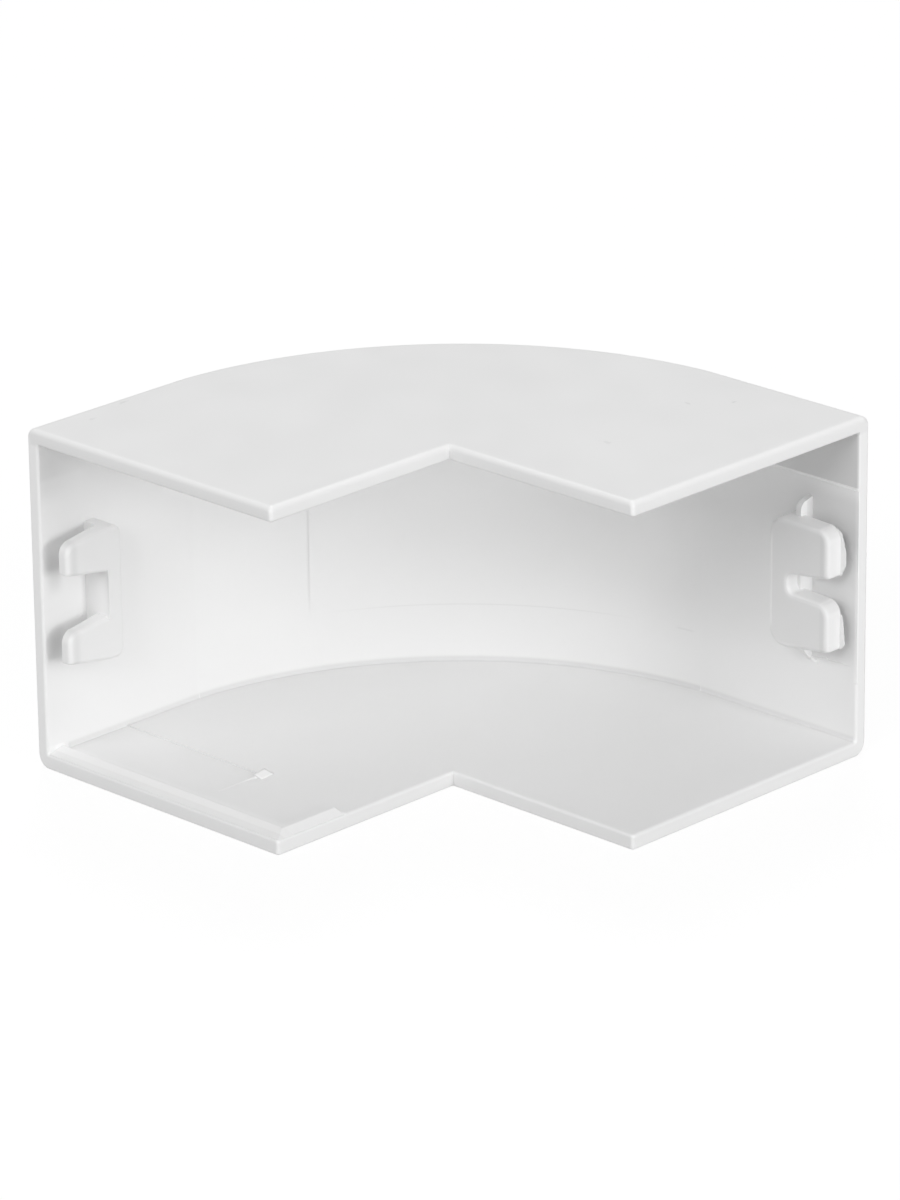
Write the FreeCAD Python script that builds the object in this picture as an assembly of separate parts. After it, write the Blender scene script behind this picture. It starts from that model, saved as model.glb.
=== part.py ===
import FreeCAD, Part
import math
import os
from dataclasses import dataclass

# Outside corner cover for square wall trunking, moulded in one piece of rigid white plastic.
#
# Millimetres, +Z up. The cover goes round the outside corner of a building. That corner fills
# the quadrant x > 0, y < 0, and its edge stands in the notch of the two cheeks. The origin is
# the foot of that notch line, level with the underside of the lower cheek. One leg runs to -Y
# along the building's face x = 0, and the other runs to +X along its face y = 0.

# The trunking that slides into both legs
TRUNKING_HEIGHT = 50.0
TRUNKING_DEPTH = 50.0
SIDE_CLEARANCE = 0.25
LID_CLEARANCE = 0.75

# The moulding
WALL = 2.4
LEG_LENGTH = 37.5
STRAIGHT_LENGTH = 32.4
BEND_CORNER_ANGLE = 3.9
BEND_BLEND_RADIUS = 6.0
TOP_EDGE_RADIUS = 1.4
BOTTOM_EDGE_RADIUS = 2.3
CEILING_CORNER_RADIUS = 0.5
FLOOR_CORNER_RADIUS = 0.3
CHEEK_CORNER_RADIUS = 0.6

# Rounding round the open ends and along the cheeks' edges at the building
RIM_TOP_RADIUS = 0.9
RIM_BOTTOM_RADIUS = 0.3
RIM_SIDE_RADIUS = 0.7
RIM_INNER_RADIUS = 0.5

# The band of the wall that stands proud where the core is split. It is full where it starts,
# beside the left leg, and runs out before the right open end.
BAND_PROUD = 0.08
BAND_ABOVE_FLOOR = 9.65
BAND_BELOW_CEILING = 9.3
BAND_START = 22.0
BAND_RUN_OUT = 29.0

# The end zone of the left leg, formed by a slide of the mould
END_ZONE_LENGTH = 16.8
FOOTPRINT_WIDTH = 29.4
FOOTPRINT_DEPTH = 0.12

# The lip on the lower cheek at the left open end. It is highest on the side of the floor, and
# its top falls outwards.
LIP_HEIGHT = 0.7
LIP_WIDTH = 3.4
LIP_RETURN_WIDTH = 2.5
LIP_RETURN_LENGTH = 14.3
LIP_SETBACK = 0.2
LIP_RIDGE_RADIUS = 0.45
LIP_END_RADIUS = 0.25

# Clips that hold the trunking's lid, one inside each open end. Tops, bottoms and the rib's ends
# are heights above the lower cheek's underside.
CLIP_STAND_OFF = 5.2
TONGUE_HEEL_RADIUS = 0.5

LEFT_CLIP_TOP = 38.4
LEFT_CLIP_BOTTOM = 16.85
LEFT_TONGUE_HEIGHT = 7.1
LEFT_TONGUE_THICKNESS = 1.8
LEFT_TONGUE_DRAFT = 0.9
LEFT_TONGUE_TOP_DROP = 0.8
LEFT_TONGUE_BOTTOM_RISE = 1.4
LEFT_TIP_RADIUS = 1.9
LEFT_TIP_INSET = 0.6
LEFT_TONGUE_LENGTH = 8.4
LEFT_PAD_WIDTH = 3.1
LEFT_PAD_RADIUS = 1.5
LEFT_SLOT_RADIUS = 0.0
LEFT_FRONT_RADIUS = 0.7

RIGHT_CLIP_TOP = 38.05
RIGHT_CLIP_BOTTOM = 16.9
RIGHT_TONGUE_HEIGHT = 9.1
RIGHT_TONGUE_THICKNESS = 3.2
RIGHT_TONGUE_DRAFT = 0.2
RIGHT_TONGUE_TOP_DROP = 0.2
RIGHT_TONGUE_BOTTOM_RISE = 1.1
RIGHT_TIP_RADIUS = 2.2
RIGHT_TIP_INSET = 1.7
RIGHT_TONGUE_LENGTH = 8.2
RIGHT_PAD_WIDTH = 3.85
RIGHT_PAD_RADIUS = 2.8
RIGHT_SLOT_RADIUS = 1.2
RIGHT_FRONT_RADIUS = 0.8

# The thin rib behind the right clip, which shows above it and ends in a foot below it
RIB_FROM_END = 9.25
RIB_THICKNESS = 1.0
RIB_STAND_OFF = 2.75
RIB_TOP = 40.7
RIB_TOP_DROP = 0.7
RIB_BOTTOM = 13.6
RIB_BOTTOM_RISE = 3.2
RIB_CORNER_RADIUS = 1.3

# Sizes worked out from those above
HEIGHT = TRUNKING_HEIGHT + 2 * SIDE_CLEARANCE + 2 * WALL
DEPTH = TRUNKING_DEPTH + LID_CLEARANCE + WALL
FLOOR = WALL
CEILING = HEIGHT - WALL
OVERSHOOT = WALL


@dataclass
class Leg:
    """One leg of the cover, with places measured from its open end.

    s runs from the open end towards the bend, n from the wall's inner face towards the
    building, and z upwards.
    """

    end_of_wall: FreeCAD.Vector
    inward: FreeCAD.Vector
    to_building: FreeCAD.Vector

    def at(self, s, n, z):
        """Point of the model at s, n and z of this leg."""
        return self.end_of_wall + self.inward * s + self.to_building * n + FreeCAD.Vector(0, 0, z)

    def block(self, s_range, n_range, z_range):
        """Square block between two values each of s, n and z."""
        (s0, s1), (n0, n1), (z0, z1) = s_range, n_range, z_range
        corners = [(s0, z0), (s1, z0), (s1, z1), (s0, z1)]
        return self.plate(corners, [0, 0, 0, 0], n0, n1)

    def plate(self, corners, radii, n0, n1):
        """Plate with a rounded outline in s and z, from n0 to n1."""
        points = [self.at(s, n0, z) for s, z in corners]
        return Part.Face(rounded_wire(points, radii)).extrude(self.to_building * (n1 - n0))


@dataclass
class Clip:
    """Two-tongued clip that stands on the wall of one leg."""

    leg: Leg
    top: float
    bottom: float
    tongue_height: float
    tongue_thickness: float
    tongue_draft: float
    tongue_top_drop: float
    tongue_bottom_rise: float
    tip_radius: float
    tip_inset: float
    tongue_length: float
    pad_width: float
    pad_radius: float
    slot_radius: float
    front_radius: float

    def root(self):
        """Distance from the open end to where the tongues meet the pad."""
        return self.tip_inset + self.tongue_length

    def build(self):
        """Solid of the clip, rooted in the wall."""
        tip = self.tip_inset
        root = self.root()
        far = root + self.pad_width
        upper_foot = self.top - self.tongue_height
        lower_top = self.bottom + self.tongue_height
        outline = [
            (far, self.top),
            (root, self.top),
            (tip, self.top - self.tongue_top_drop),
            (tip, upper_foot + self.tongue_bottom_rise),
            (root, upper_foot),
            (root, lower_top),
            (tip, lower_top - self.tongue_top_drop),
            (tip, self.bottom + self.tongue_bottom_rise),
            (root, self.bottom),
            (far, self.bottom),
        ]
        radii = [
            self.pad_radius, 0, self.tip_radius, TONGUE_HEEL_RADIUS, self.slot_radius, self.slot_radius,
            self.tip_radius, TONGUE_HEEL_RADIUS, 0, self.pad_radius,
        ]
        gap = CLIP_STAND_OFF - self.tongue_thickness
        tongues = self.leg.plate(outline, radii, gap - self.tongue_draft, CLIP_STAND_OFF)
        tongues = tongues.cut(self.behind_tongues(gap))
        pad = self.leg.plate(
            [(far, self.top), (root, self.top), (root, self.bottom), (far, self.bottom)],
            [self.pad_radius, 0, 0, self.pad_radius],
            -WALL / 2,
            CLIP_STAND_OFF,
        )
        clip = tongues.fuse(pad).removeSplitter()
        front = [e for e in clip.Edges if self.is_front(e) and not self.is_sharp(e)]
        return clip.makeFillet(self.front_radius, front)

    def behind_tongues(self, gap):
        """Wedge behind the tongues, which makes them thinner from the root to the tip."""
        tip, root = self.tip_inset, self.root()
        slope = self.tongue_draft / self.tongue_length
        corners = [(root, gap - self.tongue_draft), (0, gap - self.tongue_draft), (0, gap + slope * tip)]
        points = [self.leg.at(s, n, 0) for s, n in corners]
        return Part.Face(Part.makePolygon(points + points[:1])).extrude(FreeCAD.Vector(0, 0, HEIGHT))

    def is_front(self, edge):
        """True for an edge all of which lies in the clip's front face."""
        face_level = self.leg.at(0, CLIP_STAND_OFF, 0)
        return all(abs((p - face_level).dot(self.leg.to_building)) < 1e-6 for p in edge_points(edge))


    def is_sharp(self, edge):
        """True for the front edge at the bottom of a slot with square corners."""
        slot = self.leg.at(self.root(), 0, 0)
        along = [(v.Point - slot).dot(self.leg.inward) for v in edge.Vertexes]
        return self.slot_radius == 0 and all(abs(s) < 1e-6 for s in along)


def rounded_wire(points, radii):
    """Closed wire through points, with an arc of the given radius at each corner."""
    count = len(points)
    starts, ends, arcs = [], [], []
    for i, corner in enumerate(points):
        before = (points[i - 1] - corner).normalize()
        after = (points[(i + 1) % count] - corner).normalize()
        if radii[i] <= 0:
            starts.append(corner)
            ends.append(corner)
            arcs.append(None)
            continue
        half = before.getAngle(after) / 2
        start = corner + before * (radii[i] / math.tan(half))
        end = corner + after * (radii[i] / math.tan(half))
        bisector = (before + after).normalize()
        crown = corner + bisector * (radii[i] / math.sin(half) - radii[i])
        starts.append(start)
        ends.append(end)
        arcs.append(Part.Arc(start, crown, end).toShape())
    edges = []
    for i in range(count):
        if arcs[i]:
            edges.append(arcs[i])
        edges.append(Part.LineSegment(ends[i], starts[(i + 1) % count]).toShape())
    return Part.Wire(edges)


def middle(edge):
    """Point half way along an edge."""
    return edge.valueAt((edge.FirstParameter + edge.LastParameter) / 2)


def wall_line(inset):
    """Edges of the wall line round the bend, at an inset from the outer face, left to right.

    The bend is an arc that meets each straight wall at a slight corner, and a smaller arc
    rounds that corner. Every inset shares the arcs' centres, so the wall keeps its thickness.
    """
    past_notch = LEG_LENGTH - STRAIGHT_LENGTH
    half_turn = math.radians(45 - BEND_CORNER_ANGLE)
    half_chord = (DEPTH + past_notch) / math.sqrt(2)
    radius = half_chord / math.sin(half_turn)
    to_centre = radius * math.cos(half_turn) - (DEPTH - past_notch) / math.sqrt(2)
    centre = FreeCAD.Vector(to_centre, -to_centre, 0) / math.sqrt(2)
    blend_x = BEND_BLEND_RADIUS - DEPTH
    reach = radius - BEND_BLEND_RADIUS
    blend_y = centre.y + math.sqrt(reach ** 2 - (blend_x - centre.x) ** 2)
    blend = FreeCAD.Vector(blend_x, blend_y, 0)
    turn_end = math.atan2(blend.y - centre.y, blend.x - centre.x)
    blend_radius = BEND_BLEND_RADIUS - inset
    left = [polar(blend, blend_radius, a) for a in (math.pi, (math.pi + turn_end) / 2, turn_end)]
    crown = polar(centre, radius - inset, math.radians(135))
    right = [across_bend(p) for p in reversed(left)]
    arcs = [left, [left[2], crown, right[0]], right]
    return [Part.Arc(*arc).toShape() for arc in arcs], left[0], right[2]


def polar(centre, radius, angle):
    """Point at a radius and an angle round a centre."""
    return centre + FreeCAD.Vector(math.cos(angle), math.sin(angle), 0) * radius


def across_bend(point):
    """The same place on the other leg, mirrored in the upright plane through the notch."""
    return FreeCAD.Vector(-point.y, -point.x, point.z)


def plan_solid(inset, over, z0, z1):
    """Solid of the plan inside the wall line at an inset, drawn past the open sides by over."""
    edges, left_end, right_end = wall_line(inset)
    run = LEG_LENGTH + over
    side = DEPTH - inset
    path = [
        right_end,
        FreeCAD.Vector(run, side, 0),
        FreeCAD.Vector(run, -over, 0),
        FreeCAD.Vector(over, -over, 0),
        FreeCAD.Vector(over, -run, 0),
        FreeCAD.Vector(-side, -run, 0),
        left_end,
    ]
    for a, b in zip(path, path[1:]):
        edges.append(Part.LineSegment(a, b).toShape())
    face = Part.Face(Part.Wire(edges))
    face.translate(FreeCAD.Vector(0, 0, z0))
    return face.extrude(FreeCAD.Vector(0, 0, z1 - z0))


def flat_distance(a, b):
    """Distance between two points in plan."""
    return math.hypot(a.x - b.x, a.y - b.y)


def wall_edges(solid, z):
    """Edges at height z that follow the wall line, leaving out the open sides."""
    found = []
    for edge in solid.Edges:
        points = edge_points(edge)
        if any(abs(p.z - z) > 1e-6 for p in points):
            continue
        mid = points[-1]
        on_notch_side = mid.x > -1e-6 and mid.y < 1e-6
        on_end = abs(mid.x - solid.BoundBox.XMax) < 1e-6 or abs(mid.y - solid.BoundBox.YMin) < 1e-6
        if not on_notch_side and not on_end:
            found.append(edge)
    return found


def edge_points(edge):
    """Ends and middle of an edge."""
    return [v.Point for v in edge.Vertexes] + [middle(edge)]


def on_rim(point):
    """True for a point in the plane of an open end, or of a cheek's edge at the building."""
    at_end = abs(point.x - LEG_LENGTH) < 1e-6 or abs(point.y + LEG_LENGTH) < 1e-6
    return at_end or (point.x > -1e-6 and point.y < 1e-6)


def outer_radius(edge):
    """Rounding of an edge of the outer block, or 0 for the edge in the notch."""
    points = edge_points(edge)
    mid = points[-1]
    if all(abs(p.z - HEIGHT) < 1e-6 for p in points):
        return RIM_TOP_RADIUS if on_rim(mid) else TOP_EDGE_RADIUS
    if all(abs(p.z) < 1e-6 for p in points):
        return RIM_BOTTOM_RADIUS if on_rim(mid) else BOTTOM_EDGE_RADIUS
    if abs(mid.x) < 1e-6 and abs(mid.y) < 1e-6:
        return 0
    if mid.x > -1e-6 and mid.y < 1e-6:
        return CHEEK_CORNER_RADIUS
    return RIM_SIDE_RADIUS if on_rim(mid) else 0


def round_together(solid, radius_of):
    """Rounds all edges for which radius_of gives a radius, in one go, so that corners blend."""
    document = FreeCAD.newDocument("rounding")
    base = document.addObject("Part::Feature", "Base")
    base.Shape = solid
    rounding = document.addObject("Part::Fillet", "Rounding")
    rounding.Base = base
    radii = [(number, radius_of(edge)) for number, edge in enumerate(solid.Edges, 1)]
    rounding.Edges = [(number, radius, radius) for number, radius in radii if radius > 0]
    document.recompute()
    result = rounding.Shape.copy()
    FreeCAD.closeDocument(document.Name)
    return result


def outer_block():
    """Solid inside the outer faces, with its edges rounded."""
    return round_together(plan_solid(0, 0, 0, HEIGHT), outer_radius)


def cavity_block():
    """Space between the cheeks, open at both ends and towards the building."""
    space = plan_solid(WALL, OVERSHOOT, FLOOR, CEILING)
    space = space.makeFillet(CEILING_CORNER_RADIUS, wall_edges(space, CEILING))
    return space.makeFillet(FLOOR_CORNER_RADIUS, wall_edges(space, FLOOR))


def shell():
    """Wall and two cheeks, with the inner edges round the openings rounded."""
    body = outer_block().cut(cavity_block())
    return body.makeFillet(RIM_INNER_RADIUS, inner_rim_edges(body))


def inner_rim_edges(body):
    """Edges where the cheeks' and the wall's inner faces meet the open sides."""
    found = []
    for edge in body.Edges:
        mid = middle(edge)
        inside_height = FLOOR - 1e-6 < mid.z < CEILING + 1e-6
        inside_wall = mid.x > WALL - DEPTH - 1e-6 and mid.y < DEPTH - WALL + 1e-6
        straight_up = abs(mid.x) < 1e-6 and abs(mid.y) < 1e-6
        on_corner = min(flat_distance(mid, c) for c in cheek_corners()) < CHEEK_CORNER_RADIUS
        level = abs(mid.z - FLOOR) < 1e-6 or abs(mid.z - CEILING) < 1e-6
        if not inside_height or not inside_wall or straight_up:
            continue
        if on_corner and not level:
            continue
        if on_rim(mid) or on_corner:
            found.append(edge)
    return found


def cheek_corners():
    """Plan points of the cheeks' outermost corners at the building."""
    return [FreeCAD.Vector(0, -LEG_LENGTH, 0), FreeCAD.Vector(LEG_LENGTH, 0, 0)]


def band():
    """Band of the wall that stands proud, from beside the left leg into the right leg."""
    low = FLOOR + BAND_ABOVE_FLOOR
    high = CEILING - BAND_BELOW_CEILING
    backing = plan_solid(WALL / 2, 0, low, high)
    band_space = plan_solid(WALL + BAND_PROUD, OVERSHOOT, low, high)
    inner_face = DEPTH - WALL
    start = FreeCAD.Vector(-inner_face, inner_face - BAND_START * math.sqrt(2), 0)
    length = LEG_LENGTH - BAND_RUN_OUT - start.x
    band_space.rotate(start, FreeCAD.Vector(0, 0, 1), math.degrees(math.atan(BAND_PROUD / length)))
    ring = backing.cut(band_space)
    reach = LEG_LENGTH + DEPTH
    keep = Part.makeBox(2 * reach, 2 * reach, HEIGHT, FreeCAD.Vector(-BAND_START, -reach, 0))
    keep.rotate(FreeCAD.Vector(0, 0, 0), FreeCAD.Vector(0, 0, 1), 45)
    return ring.common(keep)


def end_zone_relief(leg):
    """Shallow footprint of the slide in the floor, square where the floor meets the wall."""
    return leg.block(
        (LIP_WIDTH, END_ZONE_LENGTH), (0, FOOTPRINT_WIDTH), (FLOOR - FOOTPRINT_DEPTH, FLOOR + WALL)
    )


def end_lip(leg):
    """Lip along the open end of the lower cheek, which turns the corner at the building."""
    near_wall = -WALL / 2
    outer_n = DEPTH - WALL - LIP_SETBACK
    ridge_n = outer_n - LIP_RETURN_WIDTH
    ridge_s = LIP_SETBACK + LIP_WIDTH
    ridge_z = FLOOR + LIP_HEIGHT
    outline = [
        (LIP_SETBACK, near_wall),
        (LIP_SETBACK, outer_n),
        (LIP_RETURN_LENGTH, outer_n),
        (LIP_RETURN_LENGTH, ridge_n),
        (ridge_s, ridge_n),
        (ridge_s, near_wall),
    ]
    points = [leg.at(s, n, FLOOR - WALL / 2) for s, n in outline]
    radii = [0, CHEEK_CORNER_RADIUS, 0, 0, 0, 0]
    lip = Part.Face(rounded_wire(points, radii)).extrude(FreeCAD.Vector(0, 0, WALL / 2 + LIP_HEIGHT))

    above = ridge_z + LIP_HEIGHT
    end_slope = [(LIP_SETBACK, FLOOR), (ridge_s, ridge_z), (ridge_s, above), (LIP_SETBACK, above)]
    over_end = leg.plate(end_slope, [0, 0, 0, 0], near_wall, outer_n)
    return_slope = [(outer_n, FLOOR), (ridge_n, ridge_z), (ridge_n, above), (outer_n, above)]
    side = [leg.at(0, n, z) for n, z in return_slope]
    over_return = Part.Face(Part.makePolygon(side + side[:1])).extrude(leg.inward * LIP_RETURN_LENGTH)
    lip = lip.cut([over_end, over_return])

    def top_radius(edge):
        """Rounding of the ridge and of the top edge at the end of the return, or 0."""
        points = edge_points(edge)
        if all(abs(p.z - ridge_z) < 1e-6 for p in points):
            return LIP_RIDGE_RADIUS
        from_end = [(p - leg.at(LIP_RETURN_LENGTH, 0, 0)).dot(leg.inward) for p in points]
        is_top = FLOOR < points[-1].z < ridge_z and abs(points[0].z - points[1].z) < LIP_HEIGHT + 1e-6
        return LIP_END_RADIUS if is_top and all(abs(s) < 1e-6 for s in from_end) else 0

    return round_together(lip, top_radius)


def rib(leg):
    """Thin upright rib on the wall of a leg, behind its clip and longer than it at both ends."""
    profile = [
        (-WALL / 2, RIB_BOTTOM),
        (0, RIB_BOTTOM),
        (RIB_STAND_OFF, RIB_BOTTOM + RIB_BOTTOM_RISE),
        (RIB_STAND_OFF, RIB_TOP - RIB_TOP_DROP),
        (0, RIB_TOP),
        (-WALL / 2, RIB_TOP),
    ]
    points = [leg.at(RIB_FROM_END, n, z) for n, z in profile]
    face = Part.Face(rounded_wire(points, [0, 0, 0, RIB_CORNER_RADIUS, 0, 0]))
    return face.extrude(leg.inward * RIB_THICKNESS)


def corner_cover():
    """The whole moulding."""
    left_leg = Leg(
        end_of_wall=FreeCAD.Vector(WALL - DEPTH, -LEG_LENGTH, 0),
        inward=FreeCAD.Vector(0, 1, 0),
        to_building=FreeCAD.Vector(1, 0, 0),
    )
    right_leg = Leg(
        end_of_wall=FreeCAD.Vector(LEG_LENGTH, DEPTH - WALL, 0),
        inward=FreeCAD.Vector(-1, 0, 0),
        to_building=FreeCAD.Vector(0, -1, 0),
    )
    left_clip = Clip(
        leg=left_leg,
        top=LEFT_CLIP_TOP,
        bottom=LEFT_CLIP_BOTTOM,
        tongue_height=LEFT_TONGUE_HEIGHT,
        tongue_thickness=LEFT_TONGUE_THICKNESS,
        tongue_draft=LEFT_TONGUE_DRAFT,
        tongue_top_drop=LEFT_TONGUE_TOP_DROP,
        tongue_bottom_rise=LEFT_TONGUE_BOTTOM_RISE,
        tip_radius=LEFT_TIP_RADIUS,
        tip_inset=LEFT_TIP_INSET,
        tongue_length=LEFT_TONGUE_LENGTH,
        pad_width=LEFT_PAD_WIDTH,
        pad_radius=LEFT_PAD_RADIUS,
        slot_radius=LEFT_SLOT_RADIUS,
        front_radius=LEFT_FRONT_RADIUS,
    )
    right_clip = Clip(
        leg=right_leg,
        top=RIGHT_CLIP_TOP,
        bottom=RIGHT_CLIP_BOTTOM,
        tongue_height=RIGHT_TONGUE_HEIGHT,
        tongue_thickness=RIGHT_TONGUE_THICKNESS,
        tongue_draft=RIGHT_TONGUE_DRAFT,
        tongue_top_drop=RIGHT_TONGUE_TOP_DROP,
        tongue_bottom_rise=RIGHT_TONGUE_BOTTOM_RISE,
        tip_radius=RIGHT_TIP_RADIUS,
        tip_inset=RIGHT_TIP_INSET,
        tongue_length=RIGHT_TONGUE_LENGTH,
        pad_width=RIGHT_PAD_WIDTH,
        pad_radius=RIGHT_PAD_RADIUS,
        slot_radius=RIGHT_SLOT_RADIUS,
        front_radius=RIGHT_FRONT_RADIUS,
    )
    body = shell().fuse(band())
    body = body.cut(end_zone_relief(left_leg))
    body = body.fuse([end_lip(left_leg), left_clip.build(), right_clip.build(), rib(right_leg)])
    return body.removeSplitter()


def main():
    """Writes the moulding as one sub-part."""
    os.makedirs("parts", exist_ok=True)
    cover = corner_cover()
    solid = cover.Solids[0]
    print("solids", len(cover.Solids), "valid", cover.isValid(), "volume", round(cover.Volume, 2))
    solid.exportStep("parts/corner_cover.step")


main()
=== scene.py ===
"""Looks of a white plastic outside corner cover for square wall trunking.

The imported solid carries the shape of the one-piece moulding. This script dresses it as satin
white plastic, adds the small flash and burrs that the mould leaves on it, and sets up the floor,
the studio lamps and the camera. Lengths inside the classes are in millimetres, as the product
is measured, and become metres where a mesh is made.
"""
import logging
import math
from dataclasses import dataclass
from enum import Enum

import bmesh
import bpy
from mathutils import Matrix, Vector, noise


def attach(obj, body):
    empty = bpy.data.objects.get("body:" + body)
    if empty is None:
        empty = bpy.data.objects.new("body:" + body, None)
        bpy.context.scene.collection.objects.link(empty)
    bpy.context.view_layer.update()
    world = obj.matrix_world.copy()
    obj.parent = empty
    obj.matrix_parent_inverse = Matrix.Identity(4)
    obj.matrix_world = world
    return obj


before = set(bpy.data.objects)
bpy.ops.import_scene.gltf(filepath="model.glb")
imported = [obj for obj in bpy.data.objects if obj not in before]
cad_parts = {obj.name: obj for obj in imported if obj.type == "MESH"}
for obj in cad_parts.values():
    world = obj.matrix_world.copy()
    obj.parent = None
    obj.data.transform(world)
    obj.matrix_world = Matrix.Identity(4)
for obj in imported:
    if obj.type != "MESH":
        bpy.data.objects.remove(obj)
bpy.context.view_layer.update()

Socket = bpy.types.NodeSocket
Triple = tuple[float, float, float]
Faces = list[tuple[int, ...]]

LOG = logging.getLogger("corner_cover")
MM = 0.001
COVER_NODE = "corner_cover"
BODY = "root"

# Nearly all values of a noise texture lie between these.
NOISE_LOW = 0.3
NOISE_HIGH = 0.7
# Steps to parts of the noise that have nothing to do with the first one.
CURL_NOISE = Vector((5, 0, 0))
LEAF_NOISE = Vector((9, 0, 0))


class Side(Enum):
    """Which leg of the cover, as the photograph shows it."""

    LEFT = "left"
    RIGHT = "right"


class Carrier(Enum):
    """The face of a leg that a small ridge stands on."""

    WALL = "wall"
    FLOOR = "floor"


@dataclass(frozen=True)
class Shell:
    """Main sizes of the moulding, in millimetres.

    The bend's axis is the centre of its round part in plan, and its radius is that of the
    wall's inner face there. The wall has a slightly proud band, whose lower edge is band_low
    above the underside of the lower cheek.
    """

    wall: float = 2.4
    depth: float = 53.15
    leg_length: float = 37.5
    height: float = 55.3
    bend_axis: tuple[float, float] = (9.363, -9.363)
    bend_radius: float = 60.26
    band_low: float = 12.05

    @property
    def floor(self) -> float:
        """Height of the lower cheek's inner face."""
        return self.wall

    @property
    def inner_face(self) -> float:
        """Distance of the wall's inner face from the building's face."""
        return self.depth - self.wall


@dataclass(frozen=True)
class Leg:
    """One leg, with places measured from its open end.

    s runs from the open end towards the bend, n from the wall's inner face towards the
    building, and z upwards, all in millimetres.
    """

    side: Side
    shell: Shell

    def at(self, s: float, n: float, z: float) -> Vector:
        """Gives a place of this leg in the model's frame.

        Args:
            s: Distance from the open end.
            n: Distance from the wall's inner face.
            z: Height above the underside of the lower cheek.

        Returns:
            The point in metres.
        """
        across = self.shell.inner_face - n
        along = self.shell.leg_length - s
        if self.side is Side.LEFT:
            return Vector((-across, -along, z)) * MM
        return Vector((along, across, z)) * MM


class NodeTree:
    """Short way to place and link shader nodes in one material or world."""

    def __init__(self, owner: bpy.types.Material | bpy.types.World) -> None:
        """Starts an empty tree.

        Args:
            owner: The material or world whose nodes are made.
        """
        owner.use_nodes = True
        self.tree = owner.node_tree
        self.tree.nodes.clear()

    def add(self, kind: str, **values: object) -> bpy.types.Node:
        """Adds a node and sets its properties and inputs.

        Args:
            kind: Name of the node type.
            **values: Properties by name, or inputs by name with underscores for blanks.

        Returns:
            The new node.
        """
        node = self.tree.nodes.new(kind)
        for name, value in values.items():
            if hasattr(node, name):
                setattr(node, name, value)
            else:
                node.inputs[name.replace("_", " ")].default_value = value
        return node

    def link(self, source: Socket, target: Socket) -> None:
        """Links one node's output to another one's input."""
        self.tree.links.new(source, target)

    def math(self, operation: str, *values: Socket | float) -> Socket:
        """Adds a math node.

        Args:
            operation: Name of the operation.
            *values: Sockets or numbers for its inputs, in order.

        Returns:
            The node's output.
        """
        node = self.add("ShaderNodeMath", operation=operation)
        for socket, value in zip(node.inputs, values):
            if isinstance(value, Socket):
                self.link(value, socket)
            else:
                socket.default_value = value
        return node.outputs[0]

    def noise(self, where: Socket, scale: float, detail: float = 2.0) -> Socket:
        """Adds a noise texture.

        Args:
            where: Socket with the coordinates, in metres.
            scale: Number of waves in a metre.
            detail: Octaves of finer noise.

        Returns:
            The noise value, round about 0.5.
        """
        node = self.add("ShaderNodeTexNoise", Scale=scale, Detail=detail)
        self.link(where, node.inputs["Vector"])
        return node.outputs["Fac"]

    def spread(self, value: Socket, low: float, high: float) -> Socket:
        """Maps the middle part of a noise value to a range.

        Args:
            value: Noise value.
            low: Result for the low values.
            high: Result for the high values.

        Returns:
            The mapped value.
        """
        node = self.add(
            "ShaderNodeMapRange", From_Min=NOISE_LOW, From_Max=NOISE_HIGH, To_Min=low, To_Max=high
        )
        self.link(value, node.inputs["Value"])
        return node.outputs["Result"]


@dataclass(frozen=True)
class Mark:
    """A place where the plastic's colour is a little darker or whiter than elsewhere. Marks serve both
    for real scuffs and for painted light and shade.

    The size is the full length, width and height in millimetres. The fade gives, for each of
    them, the share of the half over which the mark runs out. A mark that follows the bend has
    the radius in millimetres, the angle in degrees and the height as its place, and its size
    likewise.
    """

    place: Triple
    size: Triple
    tone: float
    fade: Triple = (0.6, 0.6, 0.6)
    ragged: float = 0.0
    follows_bend: bool = False


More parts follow.
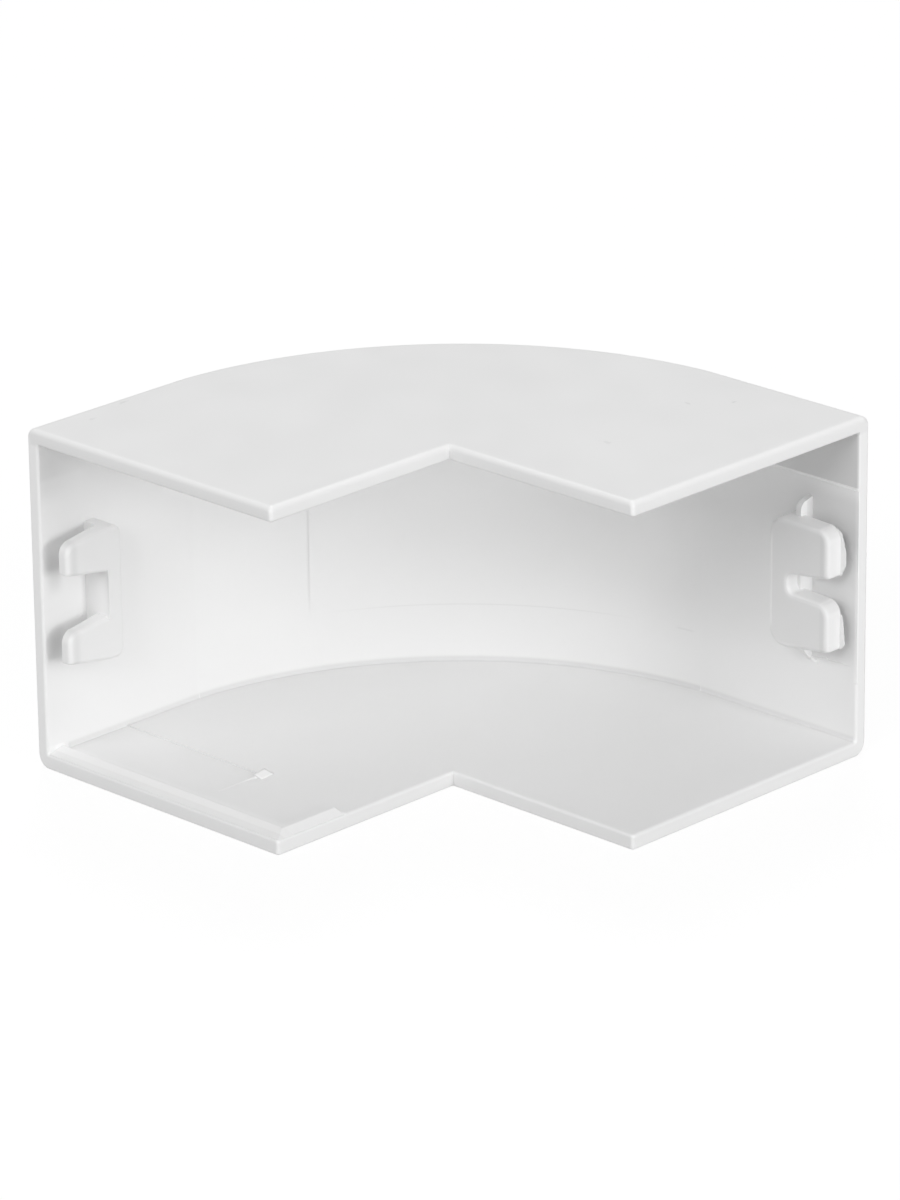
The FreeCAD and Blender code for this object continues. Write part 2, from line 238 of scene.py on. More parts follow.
@dataclass(frozen=True)
class SatinPlastic:
    """White rigid plastic as it comes from the mould.

    The waves are counted in a metre: the slow ones of colour and shrinkage, the drift of the
    gloss, the outlines of ragged marks and the fine grain. Heights are in millimetres.
    """

    name: str
    bend_axis: tuple[float, float]
    marks: tuple[Mark, ...] = ()
    colour: Triple = (0.9, 0.9, 0.9)
    shade: Triple = (0.89, 0.89, 0.889)
    roughness: float = 0.38
    roughness_spread: float = 0.05
    cloud_waves: float = 38.0
    gloss_waves: float = 114.0
    ragged_waves: float = 1800.0
    grain_waves: float = 5200.0
    grain_height: float = 0.0015
    sink_waves: float = 55.0
    sink_height: float = 0.007
    refraction: float = 1.5

    def make(self) -> bpy.types.Material:
        """Builds the material.

        Returns:
            The node material.
        """
        material = bpy.data.materials.new(self.name)
        tree = NodeTree(material)
        where = tree.add("ShaderNodeTexCoord").outputs["Object"]
        shader = tree.add("ShaderNodeBsdfPrincipled", IOR=self.refraction)
        tree.link(self.tint(tree, where), shader.inputs["Base Color"])
        tree.link(self.gloss(tree, where), shader.inputs["Roughness"])
        tree.link(self.relief(tree, where), shader.inputs["Normal"])
        output = tree.add("ShaderNodeOutputMaterial")
        tree.link(shader.outputs["BSDF"], output.inputs["Surface"])
        return material

    def tint(self, tree: NodeTree, where: Socket) -> Socket:
        """Colour with a slight cloudiness, the scuffs, and the painted light and shade of the marks.

        Args:
            tree: Tree to build in.
            where: Coordinates in metres.

        Returns:
            The colour.
        """
        mix = tree.add("ShaderNodeMix", data_type="RGBA")
        mix.inputs["A"].default_value = (*self.colour, 1)
        mix.inputs["B"].default_value = (*self.shade, 1)
        tree.link(tree.spread(tree.noise(where, self.cloud_waves), 0, 1), mix.inputs["Factor"])
        waves = tree.noise(where, self.ragged_waves, 1)
        around = self.bend_place(tree, where)
        tone: Socket | float = 1.0
        # Each mark scales the colour: the scuffs, and painted light and shade.
        for mark in self.marks:
            strength = self.mask(tree, around if mark.follows_bend else where, mark, waves)
            change = tree.math("MULTIPLY_ADD", strength, mark.tone - 1, 1.0)
            tone = tree.math("MULTIPLY", change, tone)
        scaled = tree.add("ShaderNodeVectorMath", operation="SCALE")
        tree.link(mix.outputs["Result"], scaled.inputs[0])
        tree.link(tone, scaled.inputs["Scale"])
        return scaled.outputs["Vector"]

    def bend_place(self, tree: NodeTree, where: Socket) -> Socket:
        """Place given by the radius about the bend's axis, the angle and the height.

        Args:
            tree: Tree to build in.
            where: Coordinates in metres.

        Returns:
            The radius and the height in metres, with thousandths of a degree between them.
        """
        offset = tree.add("ShaderNodeVectorMath", operation="SUBTRACT")
        tree.link(where, offset.inputs[0])
        offset.inputs[1].default_value = Vector((*self.bend_axis, 0)) * MM
        axes = tree.add("ShaderNodeSeparateXYZ")
        tree.link(offset.outputs["Vector"], axes.inputs["Vector"])
        square = tree.math("MULTIPLY", axes.outputs["X"], axes.outputs["X"])
        square = tree.math("MULTIPLY_ADD", axes.outputs["Y"], axes.outputs["Y"], square)
        turn = tree.math("ARCTAN2", axes.outputs["Y"], axes.outputs["X"])
        place = tree.add("ShaderNodeCombineXYZ")
        tree.link(tree.math("SQRT", square), place.inputs["X"])
        tree.link(tree.math("MULTIPLY", turn, math.degrees(1) * MM), place.inputs["Y"])
        tree.link(axes.outputs["Z"], place.inputs["Z"])
        return place.outputs["Vector"]

    def mask(self, tree: NodeTree, where: Socket, mark: Mark, waves: Socket) -> Socket:
        """Strength of one mark, from 0 outside it to 1 in its middle.

        Args:
            tree: Tree to build in.
            where: Coordinates in metres, or place along the bend.
            mark: The mark.
            waves: Noise that makes the outline of a ragged mark uneven.

        Returns:
            The strength.
        """
        half = [length * MM / 2 for length in mark.size]
        local = tree.add("ShaderNodeVectorMath", operation="MULTIPLY_ADD")
        tree.link(where, local.inputs[0])
        local.inputs[1].default_value = [1 / h for h in half]
        local.inputs[2].default_value = [-p * MM / h for p, h in zip(mark.place, half)]
        reach = tree.add("ShaderNodeVectorMath", operation="ABSOLUTE")
        tree.link(local.outputs["Vector"], reach.inputs[0])
        if mark.ragged:
            uneven = tree.add("ShaderNodeVectorMath", operation="ADD")
            tree.link(reach.outputs["Vector"], uneven.inputs[0])
            tree.link(tree.spread(waves, -mark.ragged, mark.ragged), uneven.inputs[1])
            reach = uneven
        share = tree.add(
            "ShaderNodeMapRange", data_type="FLOAT_VECTOR", interpolation_type="SMOOTHSTEP"
        )
        tree.link(reach.outputs["Vector"], share.inputs["Vector"])
        ends = {
            "From_Min_FLOAT3": [1 - f for f in mark.fade],
            "From_Max_FLOAT3": (1, 1, 1),
            "To_Min_FLOAT3": (1, 1, 1),
            "To_Max_FLOAT3": (0, 0, 0),
        }
        for socket in share.inputs:
            if socket.identifier in ends:
                socket.default_value = ends[socket.identifier]
        axes = tree.add("ShaderNodeSeparateXYZ")
        tree.link(share.outputs["Vector"], axes.inputs["Vector"])
        flat = tree.math("MULTIPLY", axes.outputs["X"], axes.outputs["Y"])
        return tree.math("MULTIPLY", flat, axes.outputs["Z"])

    def gloss(self, tree: NodeTree, where: Socket) -> Socket:
        """Roughness that drifts a little over the faces.

        Args:
            tree: Tree to build in.
            where: Coordinates in metres.

        Returns:
            The roughness.
        """
        low = self.roughness - self.roughness_spread
        high = self.roughness + self.roughness_spread
        return tree.spread(tree.noise(where, self.gloss_waves), low, high)

    def relief(self, tree: NodeTree, where: Socket) -> Socket:
        """Fine grain of the mould over the slow waves of the shrunk plastic.

        Args:
            tree: Tree to build in.
            where: Coordinates in metres.

        Returns:
            The normal.
        """
        waves = tree.add("ShaderNodeBump", Strength=1.0, Distance=self.sink_height * MM)
        tree.link(tree.noise(where, self.sink_waves, 1), waves.inputs["Height"])
        grain = tree.add("ShaderNodeBump", Strength=1.0, Distance=self.grain_height * MM)
        tree.link(tree.noise(where, self.grain_waves), grain.inputs["Height"])
        tree.link(waves.outputs["Normal"], grain.inputs["Normal"])
        return grain.outputs["Normal"]


@dataclass(frozen=True)
class ScuffsAndPaintedLight:
    """Scuffs on the plastic, and painted light and shade, at the places where the photograph shows them.

    Each method gives the marks of one part of the moulding. The tone of a mark is the factor
    on the plastic's colour in its middle.
    """

    shell: Shell

    def top_scuffs(self) -> tuple[Mark, ...]:
        """Small dull scuffs on the upper cheek.

        Returns:
            The marks.
        """
        top = self.shell.height
        return (
            Mark((13.1, 38.6, top), (1.8, 0.7, 0.5), 0.88, ragged=0.35),
            Mark((18.1, 43.8, top), (0.7, 1.0, 0.5), 0.88, ragged=0.35),
            Mark((16.3, 17.1, top), (2.2, 1.1, 0.5), 0.93, ragged=0.35),
            Mark((-50.9, -19.3, top), (0.8, 2.2, 0.8), 0.92, ragged=0.35),
            Mark((-48.7, -28.0, top), (0.9, 1.6, 0.5), 0.93, ragged=0.35),
        )

    def core_step_shade(self) -> tuple[Mark, ...]:
        """Painted shade in faint lines along the small steps that the mould's core and slide leave on
        the wall and the floor.

        Returns:
            The marks.
        """
        radius, band = self.shell.bend_radius, self.shell.band_low
        return (
            # Darker lines: painted shade along the steps of the core and the slide.
            Mark((radius, 129.5, band), (1.6, 54, 0.4), 0.935, (0.1, 0.6, 1.0), follows_bend=True),
            Mark((radius, 96.9, band), (1.6, 4, 0.5), 0.94, (0.1, 0.5, 1.0), follows_bend=True),
            Mark((radius, 156.5, 27.8), (1.6, 0.9, 31.5), 0.965, (0.1, 1.0, 0.4), follows_bend=True),
            Mark((-36.05, -20.7, 2.35), (29.4, 0.5, 0.6), 0.93, (0.05, 1.0, 0.3)),
        )

    def foot_crease_shade(self) -> tuple[Mark, ...]:
        """Painted shade in the crease where the wall meets the floor, in the bend and along both legs.

        Returns:
            The marks.
        """
        return (
            # Painted shade in the crease at the wall's foot.
            Mark((60.3, 135, 2.75), (1.3, 82, 1.5), 0.87, (0.6, 0.004, 0.8), follows_bend=True),
            Mark((-50.8, -19.2, 2.75), (1.3, 28.1, 1.5), 0.89, (0.6, 0.01, 0.8)),
            Mark((21.1, 50.8, 2.75), (31.9, 1.3, 1.5), 0.91, (0.01, 0.6, 0.8)),
        )

    def lip(self) -> tuple[Mark, ...]:
        """Painted light on the lip at the left open end, round its corner and on the floor beside it,
        with painted shade in the crease at its outer foot.

        Returns:
            The marks.
        """
        return (
            # Whiter lip and floor beside it: painted light.
            Mark((-25.4, -34.9, 2.9), (51.2, 2.3, 1.3), 1.09, (0.02, 0.3, 0.1)),
            Mark((-25.4, -36.5, 2.9), (51.2, 1.4, 1.3), 1.03, (0.02, 0.3, 0.1)),
            Mark((-26.5, -33.9, 2.35), (48, 4.6, 0.5), 1.06, (0.05, 1.0, 0.3)),
            Mark((-1.45, -28.4, 2.9), (2.6, 11.4, 1.3), 1.1, (0.1, 0.05, 0.1)),
            Mark((-2.7, -28.6, 2.35), (4.2, 10.6, 0.5), 1.06, (1.0, 0.3, 0.3)),
            # Darker line at the lip's outer foot: painted shade.
            Mark((-0.1, -30.2, 2.5), (0.5, 14.2, 0.6), 0.9, (0.8, 0.05, 0.5)),
        )

    def upper_rim_shade(self) -> tuple[Mark, ...]:
        """Painted shade on the edges of the upper cheek.

        Returns:
            The marks.
        """
        return (
            # Darker rims: painted shade.
            Mark((-26.5, -37.6, 53.8), (52.6, 0.7, 2.6), 0.92, (0.03, 0.1, 0.5)),
            Mark((18.6, -0.1, 53.8), (37.8, 0.7, 2.6), 0.92, (0.03, 0.1, 0.5)),
            Mark((37.6, 26.5, 53.8), (0.7, 52.6, 2.6), 0.95, (0.1, 0.03, 0.5)),
            Mark((0.1, -18.9, 53.8), (0.7, 37.4, 2.6), 0.95, (0.1, 0.03, 0.5)),
        )

    def wall_painted_light(self) -> tuple[Mark, ...]:
        """Painted light on the middle of the bend and on the inner edge of the right open end.

        Returns:
            The marks.
        """
        return (
            # Whiter bend and end edge: painted light.
            Mark((60.3, 100, 30), (1.6, 24, 36), 1.05, (0.1, 1.0, 1.0), follows_bend=True),
            Mark((60.3, 135, 36), (1.6, 46, 36), 1.04, (0.1, 0.8, 0.9), follows_bend=True),
            Mark((37.5, 50.7, 27.82), (1.8, 0.7, 31.5), 1.1, (1.0, 0.1, 0.01)),
        )

    def left_clip_gap_shade(self) -> tuple[Mark, ...]:
        """Painted shade on the wall above the left clip and behind its two tongues.

        Returns:
            The marks.
        """
        return (
            # Darker corner and gaps: painted shade.
            Mark((-50.55, -37.5, 49.6), (0.5, 26, 6.4), 0.94, (0.1, 1.0, 0.35)),
            Mark((-50.55, -37.5, 47.4), (0.5, 19, 10.8), 0.91, (0.1, 1.0, 0.8)),
            Mark((-50.7, -34.9, 31.6), (0.8, 4.6, 9.0), 0.84, (0.1, 0.9, 0.9)),
            Mark((-50.7, -34.9, 20.2), (0.8, 4.6, 8.0), 0.84, (0.1, 0.9, 0.9)),
        )

    def right_corner_shade(self) -> tuple[Mark, ...]:
        """Painted shade on the wall above the right clip.

        Returns:
            The marks.
        """
        return (
            # Darker upper corner: painted shade.
            Mark((37.5, 50.15, 48.6), (48, 1.5, 9.3), 0.80, (0.5, 0.05, 0.03)),
            Mark((37.5, 50.15, 38.0), (30, 1.5, 11.2), 0.90, (0.5, 0.05, 0.5)),
        )

    def clip_and_flash_light_and_shade(self) -> tuple[Mark, ...]:
        """Painted shade on the faces and tips of both clips, and painted highlights on the far edge of
        the right clip's face, the thin ridge on the wall and the leaf on the floor.

        Returns:
            The marks.
        """
        return (
            # Darker right clip face and tips: painted shade.
            Mark((29.8, 45.55, 27.5), (12.5, 0.6, 21.0), 0.90, (0.2, 0.5, 0.1)),
            Mark((35.0, 47.6, 27.5), (1.6, 5.0, 21.5), 0.93, (0.3, 0.3, 0.1)),
            # Whiter strip at the right clip's far edge, the wall ridge and the floor leaf: painted
            # highlights.
            Mark((24.45, 45.7, 27.5), (0.6, 0.9, 17), 1.12, (0.8, 0.3, 0.3)),
            Mark((26.0, 50.6, 43.72), (23, 0.9, 0.5), 1.08, (0.3, 0.2, 0.5)),
            Mark((-20.3, -20.8, 2.8), (2.4, 3.6, 0.68), 1.09, (0.1, 0.1, 0.02)),
            # Darker left clip tips and face: painted shade.
            Mark((-46.4, -35.5, 27.5), (3.4, 2.6, 22.5), 0.92, (0.3, 1.0, 0.1)),
            Mark((-45.55, -30.0, 27.6), (0.8, 13, 22.6), 0.96, (0.2, 0.1, 0.05)),
        )

    def everywhere(self) -> tuple[Mark, ...]:
        """Gathers the scuffs and the painted light and shade of the whole moulding.

        Returns:
            The marks.
        """
        return (
            *self.top_scuffs(),
            *self.core_step_shade(),
            *self.foot_crease_shade(),
            *self.lip(),
            *self.upper_rim_shade(),
            *self.wall_painted_light(),
            *self.left_clip_gap_shade(),
            *self.right_corner_shade(),
            *self.clip_and_flash_light_and_shade(),
        )


@dataclass(frozen=True)
class PaleFloor:
    """Plain white floor, which keeps a faint shadow of what stands on it.

    The object is lit by the plain paint. The camera sees a glow with a thin share of the
    paint, which carries the shadow.
    """

    name: str = "pale_floor"
    colour: Triple = (0.6, 0.6, 0.6)
    glow: float = 0.9
    paint_share: float = 0.2

    def make(self) -> bpy.types.Material:
        """Builds the material.

        Returns:
            The node material.
        """
        material = bpy.data.materials.new(self.name)
        tree = NodeTree(material)
        paint = tree.add("ShaderNodeBsdfDiffuse", Color=(*self.colour, 1))
        thin_colour = [c * self.paint_share for c in self.colour]
        thin_paint = tree.add("ShaderNodeBsdfDiffuse", Color=(*thin_colour, 1))
        white = tree.add("ShaderNodeEmission", Strength=self.glow)
        bright = tree.add("ShaderNodeAddShader")
        tree.link(thin_paint.outputs["BSDF"], bright.inputs[0])
        tree.link(white.outputs["Emission"], bright.inputs[1])
        path = tree.add("ShaderNodeLightPath")
        mix = tree.add("ShaderNodeMixShader")
        tree.link(path.outputs["Is Camera Ray"], mix.inputs["Fac"])
        tree.link(paint.outputs["BSDF"], mix.inputs[1])
        tree.link(bright.outputs["Shader"], mix.inputs[2])
        output = tree.add("ShaderNodeOutputMaterial")
        tree.link(mix.outputs["Shader"], output.inputs["Surface"])
        return material


def mesh_piece(name: str, points: list[Vector], faces: Faces) -> bpy.types.Object:
    """Makes a smooth mesh object with outward normals.

    Args:
        name: Name of the piece.
        points: Vertices in metres.
        faces: Vertex numbers of each face.

    Returns:
        The object, linked to the scene.
    """
    mesh = bpy.data.meshes.new(name)
    mesh.from_pydata(points, [], faces)
    work = bmesh.new()
    work.from_mesh(mesh)
    bmesh.ops.recalc_face_normals(work, faces=work.faces)
    work.to_mesh(mesh)
    work.free()
    mesh.shade_smooth()
    piece = bpy.data.objects.new(name, mesh)
    bpy.context.scene.collection.objects.link(piece)
    return piece


def swept_faces(rings: int, count: int) -> Faces:
    """Faces of a closed tube of rings with capped ends.

    Args:
        rings: Number of rings.
        count: Points in each ring.

    Returns:
        Vertex numbers of each face.
    """
    faces: Faces = []
    for r in range(rings - 1):
        for i in range(count):
            j = (i + 1) % count
            faces.append((r * count + i, r * count + j, (r + 1) * count + j, (r + 1) * count + i))
    faces.append(tuple(range(count)))
    faces.append(tuple(range((rings - 1) * count, rings * count)))
    return faces


def sheet_faces(rows: int, columns: int) -> Faces:
    """Faces of a thin sheet: its two sides, and a rim that joins them.

    Args:
        rows: Cells from the back edge to the front edge.
        columns: Cells along an edge.

    Returns:
        Vertex numbers of each face, where the lower side's vertices follow the upper side's.
    """
    wide = columns + 1
    count = wide * (rows + 1)
    faces: Faces = []
    for i in range(rows):
        for j in range(columns):
            a = i * wide + j
            faces.append((a, a + 1, a + wide + 1, a + wide))
            faces.append(tuple(k + count for k in (a + wide, a + wide + 1, a + 1, a)))
    rim = list(range(wide))
    rim += [i * wide + columns for i in range(1, rows + 1)]
    rim += [rows * wide + j for j in range(columns - 1, -1, -1)]
    rim += [i * wide for i in range(rows - 1, 0, -1)]
    for a, b in zip(rim, rim[1:] + rim[:1]):
        faces.append((a, b, b + count, a + count))
    return faces


def smooth_between(p0: float, p1: float, p2: float, p3: float, t: float) -> float:
    """Value of the smooth curve through four evenly spaced values (Catmull-Rom).

    Args:
        p0: Value before the part of the curve that is asked for.
        p1: Value at its start.
        p2: Value at its end.
        p3: Value after it.
        t: Share of the way from start to end.

    Returns:
        The value there.
    """
    square = (2 * p0 - 5 * p1 + 4 * p2 - p3) * t * t
    cube = (3 * p1 - p0 - 3 * p2 + p3) * t ** 3
    return 0.5 * (2 * p1 + (p2 - p0) * t + square + cube)


def blend_stations(stations: tuple[tuple[float, ...], ...], step: float) -> list[tuple[float, ...]]:
    """Fills in smooth stations between the given ones.

    Args:
        stations: Rows of numbers whose first number grows.
        step: Largest difference of the first number between results.

    Returns:
        The rows, with the given ones among them.
    """
    rows: list[tuple[float, ...]] = []
    last = len(stations) - 1
    for i in range(last):
        before, a, b, after = (stations[max(0, min(last, i + k))] for k in (-1, 0, 1, 2))
        parts = max(1, math.ceil((b[0] - a[0]) / step))
        for k in range(parts):
            t = k / parts
            row = [a[0] + (b[0] - a[0]) * t]
            for p0, p1, p2, p3 in zip(before[1:], a[1:], b[1:], after[1:]):
                row.append(smooth_between(p0, p1, p2, p3, t))
            rows.append(tuple(row))
    rows.append(stations[-1])
    return rows


@dataclass(frozen=True)
class FlashLip:
    """Ragged thin flash that the mould leaves beyond the back edge of a tongue's tip.

    The stations give the height z and how near to the open end the lip reaches there. It is
    rooted in the tongue, which it overlaps by at least the seat, and thins out in the given
    shares of its reach. Its edge is torn by coarse and fine noise, and curls a little.
    """

    name: str
    leg: Leg
    stations: tuple[tuple[float, float], ...]
    level: float = 2.08
    root: float = 2.6
    seat: float = 0.2
    root_thickness: float = 0.26
    edge_thickness: float = 0.09
    edge_rounding: float = 0.45
    shares: tuple[float, ...] = (0.0, 0.45, 0.8, 0.95, 1.0)
    ripple: float = 0.13
    tear_rate: float = 1.9
    fine_rate: float = 2.7
    fine_share: float = 0.8
    curl: float = 0.12
    curl_rate: float = 0.6
    noise_row: float = 3.1
    step: float = 0.1

    def section(self, z: float, reach: float, wave: float) -> list[Vector]:
        """Ring of points round the lip at one height.

        Args:
            z: Height.
            reach: Distance of the lip's edge from the open end.
            wave: Curl of the edge towards the building.

        Returns:
            The points in metres.
        """
        front, back = [], []
        for share in self.shares:
            s = self.root + (reach - self.root) * share
            half = (self.root_thickness + (self.edge_thickness - self.root_thickness) * share) / 2
            if share == self.shares[-1]:
                half *= self.edge_rounding
            middle = self.level + wave * share ** 2
            front.append(self.leg.at(s, middle + half, z))
            back.append(self.leg.at(s, middle - half, z))
        return front + back[::-1]

    def build(self) -> bpy.types.Object:
        """Builds the lip.

        Returns:
            The mesh object.
        """
        rows = blend_stations(self.stations, self.step)
        points: list[Vector] = []
        for z, reach in rows:
            seed = Vector((z * self.tear_rate, self.noise_row, self.level))
            fine = self.fine_share * noise.noise(seed * self.fine_rate)
            reach += self.ripple * (noise.noise(seed) + fine)
            wave = self.curl * noise.noise(seed * self.curl_rate + CURL_NOISE)
            points += self.section(z, min(reach, self.root - self.seat), wave)
        return mesh_piece(self.name, points, swept_faces(len(rows), 2 * len(self.shares)))


@dataclass(frozen=True)
class Burr:
    """Low ridge of flash that stands on the wall or the floor of a leg.

    Each station has the distance s from the open end, the place t across the ridge (n on the
    floor, z on the wall), the width and the height of the ridge, and how far its crest leans.
    The profile gives places across the ridge as shares of its width, with the share of its
    height there. The ridge reaches into the plastic by the sink.
    """

    name: str
    leg: Leg
    carrier: Carrier
    level: float
    stations: tuple[tuple[float, float, float, float, float], ...]
    step: float = 0.12
    sink: float = 0.12
    least_height: float = 0.005
    ripple: float = 0.12
    ripple_rate: float = 2.3
    noise_row: float = 0.7
    profile: tuple[tuple[float, float], ...] = (
        (-0.5, 0.0), (-0.3, 0.45), (-0.12, 0.88), (0.0, 1.0), (0.12, 0.88), (0.3, 0.45), (0.5, 0.0)
    )

    def place(self, s: float, t: float, up: float) -> Vector:
        """Point of the ridge in the model's frame.

        Args:
            s: Distance from the open end.
            t: Place across the ridge.
            up: Height over the face that carries it.

        Returns:
            The point in metres.
        """
        if self.carrier is Carrier.FLOOR:
            return self.leg.at(s, t, self.level + up)
        return self.leg.at(s, self.level + up, t)

    def build(self) -> bpy.types.Object:
        """Builds the ridge.

        Returns:
            The mesh object.
        """
        rows = blend_stations(self.stations, self.step)
        points: list[Vector] = []
        for s, t, width, height, lean in rows:
            seed = Vector((s * self.ripple_rate, self.level, self.noise_row))
            swell = 1 + self.ripple * noise.noise(seed)
            for across, up in self.profile:
                shift = across * width + lean * up
                points.append(self.place(s, t + shift, max(height, self.least_height) * swell * up))
            points.append(self.place(s, t + width / 2, -self.sink))
            points.append(self.place(s, t - width / 2, -self.sink))
        return mesh_piece(self.name, points, swept_faces(len(rows), len(self.profile) + 2))


@dataclass(frozen=True)
class TornLeaf:
    """Small torn leaf of flash that lies tilted on the floor of a leg.

    Each corner has the distance s from the open end, the distance n from the wall, and the
    height over the floor.
    """

    name: str
    leg: Leg
    corners: tuple[Triple, ...]
    thickness: float = 0.1
    rows: int = 6
    columns: int = 9
    ripple: float = 0.07
    tear_rate: float = 1.7
    noise_row: float = 0.3

    def middle(self, across: float, along: float) -> Triple:
        """Place on the leaf between its four corners.

        Args:
            across: Share of the way from the back edge to the front edge.
            along: Share of the way from the open end's side to the other.

        Returns:
            Distances s and n, and the height.
        """
        shares = ((1 - across) * (1 - along), (1 - across) * along, across * along, across * (1 - along))
        s, n, up = (sum(k * c[axis] for k, c in zip(shares, self.corners)) for axis in range(3))
        seed = Vector((s * self.tear_rate, n * self.tear_rate, self.noise_row))
        s += self.ripple * noise.noise(seed)
        n += self.ripple * noise.noise(seed + LEAF_NOISE)
        return s, n, up

    def build(self) -> bpy.types.Object:
        """Builds the leaf.

        Returns:
            The mesh object.
        """
        points: list[Vector] = []
        level = self.leg.shell.floor
        for depth in (0.0, self.thickness):
            for i in range(self.rows + 1):
                for j in range(self.columns + 1):
                    s, n, up = self.middle(i / self.rows, j / self.columns)
                    points.append(self.leg.at(s, n, level + up + self.thickness / 2 - depth))
        return mesh_piece(self.name, points, sheet_faces(self.rows, self.columns))


@dataclass(frozen=True)
class MouldFlash:
    """All the small flash on the moulding, at the places where the photograph shows it."""

    shell: Shell
    plastic_with_painted_light: bpy.types.Material

    def clip_lips(self, leg: Leg) -> list[FlashLip]:
        """Lips behind the tips of the two tongues of the right clip.

        Args:
            leg: The right leg.

        Returns:
            The lips.
        """
        upper = (
            (29.75, 2.3), (30.0, 1.62), (31.0, 1.1), (31.7, 0.78), (32.9, 0.62),
            (34.2, 0.7), (35.2, 0.95), (36.1, 1.2), (37.0, 1.5), (37.6, 2.3),
        )
        lower = (
            (17.75, 2.3), (18.05, 1.6), (18.55, 0.95), (19.0, 0.76), (19.8, 0.78),
            (21.0, 0.92), (22.6, 1.1), (23.6, 1.35), (24.4, 2.3),
        )
        return [
            FlashLip("right_clip_upper_flash", leg, upper),
            FlashLip("right_clip_lower_flash", leg, lower),
        ]

    def floor_flash(self, leg: Leg) -> list[Burr | TornLeaf]:
        """Torn leaf on the floor, with the thin tail that leads to it.

        Args:
            leg: The left leg.

        Returns:
            The tail and the leaf.
        """
        tail = (
            (7.8, 30.0, 0.2, 0.02, 0.0),
            (10.0, 30.0, 0.28, 0.06, -0.05),
            (12.4, 30.05, 0.3, 0.07, -0.05),
            (14.2, 30.1, 0.36, 0.12, -0.06),
            (15.2, 30.3, 0.6, 0.22, -0.1),
            (16.0, 30.4, 0.5, 0.1, 0.0),
        )
        leaf = ((15.2, 30.05, 0.45), (17.9, 29.45, 0.52), (18.2, 31.25, 0.0), (15.4, 31.45, 0.0))
        return [
            Burr("floor_burr", leg, Carrier.FLOOR, self.shell.floor, tail),
            TornLeaf("floor_leaf", leg, leaf),
        ]

    def wall_flash(self, leg: Leg) -> list[Burr]:
        """Burr at the foot of the clip's rib, seam below the clip and ridge above it.

        Args:
            leg: The right leg.

        Returns:
            The three ridges.
        """
        foot = (
            (7.9, 13.75, 0.5, 0.1, 0.0),
            (8.2, 13.7, 0.75, 0.4, -0.05),
            (8.7, 13.85, 0.7, 0.45, -0.05),
            (9.2, 14.05, 0.5, 0.3, 0.0),
            (9.6, 14.2, 0.3, 0.1, 0.0),
        )
        seam = (
            (1.4, 14.75, 0.2, 0.04, 0.0),
            (2.6, 14.7, 0.26, 0.12, 0.0),
            (4.2, 14.6, 0.28, 0.14, 0.0),
            (5.6, 14.55, 0.3, 0.18, 0.0),
            (6.6, 14.7, 0.34, 0.22, 0.0),
            (7.6, 14.5, 0.34, 0.2, 0.0),
            (8.8, 14.35, 0.2, 0.05, 0.0),
        )
        ridge = (
            (0.6, 43.6, 0.2, 0.06, 0.0),
            (3.0, 43.6, 0.26, 0.12, 0.0),
            (8.0, 43.62, 0.26, 0.12, 0.0),
            (13.0, 43.65, 0.22, 0.1, 0.0),
            (18.0, 43.7, 0.2, 0.06, 0.0),
            (22.0, 43.7, 0.15, 0.02, 0.0),
        )
        return [
            Burr("rib_foot_burr", leg, Carrier.WALL, 0.0, foot),
            Burr("right_wall_seam", leg, Carrier.WALL, 0.0, seam),
            Burr("right_wall_ridge", leg, Carrier.WALL, 0.0, ridge, step=0.3),
        ]

    def build(self) -> None:
        """Builds, dresses and fixes every flash to the moulding."""
        left, right = Leg(Side.LEFT, self.shell), Leg(Side.RIGHT, self.shell)
        for part in (*self.clip_lips(right), *self.floor_flash(left), *self.wall_flash(right)):
            piece = part.build()
            piece.data.materials.append(self.plastic_with_painted_light)
            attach(piece, BODY)
            LOG.info("%s: %d faces", piece.name, len(piece.data.polygons))


@dataclass(frozen=True)
class CoverMoulding:
    """The one-piece cover itself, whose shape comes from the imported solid."""

    node: bpy.types.Object
    plastic_with_painted_light: bpy.types.Material

    def dress(self) -> None:
        """Gives the moulding its plastic, with scuffs and painted light and shade in its colour, in
        place of the plain one.
        """
        self.node.data.materials.clear()
        self.node.data.materials.append(self.plastic_with_painted_light)
        LOG.info("%s: %d faces", self.node.name, len(self.node.data.polygons))


@dataclass(frozen=True)
class SoftBox:
    """A square lamp with a soft, even face.

    The azimuth is counted from -Y towards +X and the elevation from the floor, in degrees. The
    distance and the size are in metres, and the power is in watts.
    """

    name: str
    azimuth: float
    elevation: float
    power: float
    distance: float = 1.4
    size: float = 0.5
    colour: Triple = (1.0, 1.0, 1.0)

    def build(self, target: Vector) -> None:
        """Places the lamp on a sphere round the target and turns it there.

        Args:
            target: Point that the lamp looks at.
        """
        azimuth, elevation = math.radians(self.azimuth), math.radians(self.elevation)
        flat = math.cos(elevation)
        away = Vector((math.sin(azimuth) * flat, -math.cos(azimuth) * flat, math.sin(elevation)))
        data = bpy.data.lights.new(self.name, "AREA")
        data.shape = "SQUARE"
        data.size = self.size
        data.energy = self.power
        data.color = self.colour
        lamp = bpy.data.objects.new(self.name, data)
        lamp.location = target + away * self.distance
        lamp.rotation_euler = (-away).to_track_quat("-Z", "Y").to_euler()
        bpy.context.scene.collection.objects.link(lamp)
        LOG.info("lamp %s", self.name)


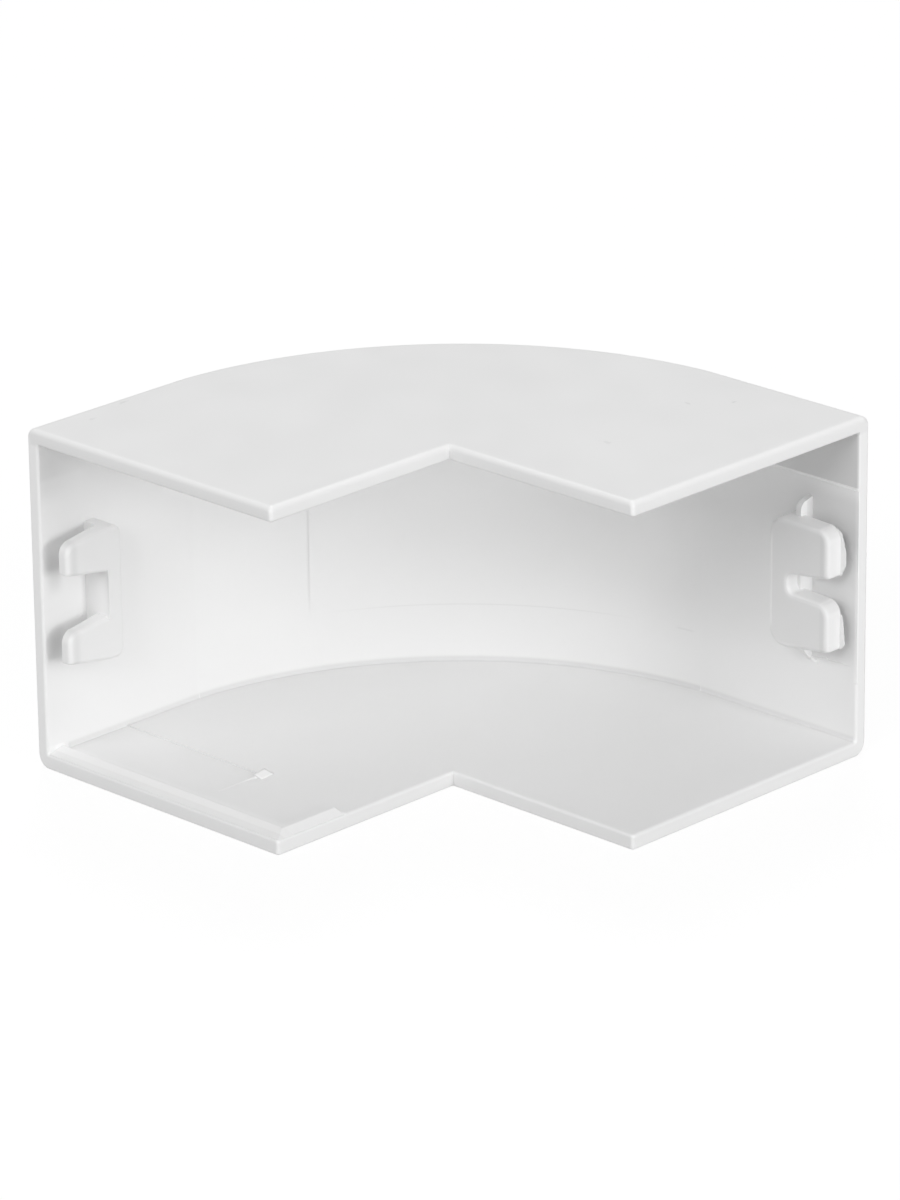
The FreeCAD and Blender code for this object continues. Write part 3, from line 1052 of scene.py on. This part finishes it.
@dataclass(frozen=True)
class Studio:
    """Floor, surrounding light and lamps. The floor's size is in metres."""

    target: Vector
    surround: float = 0.37
    background: float = 1.0
    floor_size: float = 6.0
    lamps: tuple[SoftBox, ...] = (
        SoftBox("low_key", azimuth=90, elevation=8, power=6.58),
        SoftBox("high_key", azimuth=90, elevation=30, power=2.76),
        SoftBox("left_fill", azimuth=-15, elevation=30, power=3.66),
        SoftBox("front_fill", azimuth=20, elevation=30, power=4.13),
        SoftBox("back_light", azimuth=225, elevation=55, power=5.4),
    )

    def build(self) -> None:
        """Builds the floor, the world and the lamps."""
        self.build_floor()
        self.build_world()
        for lamp in self.lamps:
            lamp.build(self.target)

    def build_floor(self) -> None:
        """Lays a flat white floor under the object."""
        half = self.floor_size / 2
        around = ((-half, -half), (half, -half), (half, half), (-half, half))
        corners = [Vector((x, y, 0)) for x, y in around]
        floor = mesh_piece("floor", corners, [(0, 1, 2, 3)])
        floor.data.materials.append(PaleFloor().make())
        LOG.info("floor laid")

    def build_world(self) -> None:
        """Lights the scene evenly, and shows white where the camera looks past the floor."""
        world = bpy.data.worlds.new("studio")
        bpy.context.scene.world = world
        tree = NodeTree(world)
        white = (1, 1, 1, 1)
        soft = tree.add("ShaderNodeBackground", Color=white, Strength=self.surround)
        bright = tree.add("ShaderNodeBackground", Color=white, Strength=self.background)
        path = tree.add("ShaderNodeLightPath")
        mix = tree.add("ShaderNodeMixShader")
        tree.link(path.outputs["Is Camera Ray"], mix.inputs["Fac"])
        tree.link(soft.outputs["Background"], mix.inputs[1])
        tree.link(bright.outputs["Background"], mix.inputs[2])
        output = tree.add("ShaderNodeOutputWorld")
        tree.link(mix.outputs["Shader"], output.inputs["Surface"])


@dataclass(frozen=True)
class PhotoCamera:
    """Camera at the photograph's place, heading and lens.

    The place is in metres. The heading is counted from +X towards +Y and the pitch from the
    level upwards, both in degrees, and the lens and the sensor are in millimetres.
    """

    place: Triple = (0.655115, -0.668117, 0.384084)
    heading: float = 134.437
    pitch: float = -20.853
    roll: float = -0.656
    lens: float = 197.92
    sensor: float = 36.0
    shift: tuple[float, float] = (-0.001036, 0.01459)
    near: float = 0.05
    far: float = 20.0

    def build(self) -> None:
        """Makes the camera and gives it to the scene.

        Unturned, a camera looks straight down with its top towards +Y, so a quarter turn is
        taken off the heading and added to the pitch.
        """
        data = bpy.data.cameras.new("photo_camera")
        data.sensor_width = self.sensor
        data.sensor_fit = "AUTO"
        data.lens = self.lens
        data.shift_x, data.shift_y = self.shift
        data.clip_start, data.clip_end = self.near, self.far
        camera = bpy.data.objects.new("photo_camera", data)
        turn = Matrix.Rotation(math.radians(self.heading - 90), 4, "Z")
        tilt = Matrix.Rotation(math.radians(90 + self.pitch), 4, "X")
        roll = Matrix.Rotation(math.radians(self.roll), 4, "Z")
        camera.matrix_world = Matrix.Translation(Vector(self.place)) @ turn @ tilt @ roll
        bpy.context.scene.collection.objects.link(camera)
        bpy.context.scene.camera = camera
        LOG.info("camera placed")


def main() -> None:
    """Builds the whole scene in order."""
    logging.basicConfig(level=logging.INFO, format="%(name)s: %(message)s")
    bpy.context.scene.view_settings.view_transform = "Standard"
    shell = Shell()
    PhotoCamera().build()
    # The plastic's colour carries the scuffs and the painted light and shade.
    marks = ScuffsAndPaintedLight(shell).everywhere()
    plastic = SatinPlastic("satin_white_plastic", shell.bend_axis, marks).make()
    CoverMoulding(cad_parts[COVER_NODE], plastic).dress()
    MouldFlash(shell, plastic).build()
    Studio(Vector((0, 0, shell.height / 2 * MM))).build()


if __name__ == "__main__":
    main()
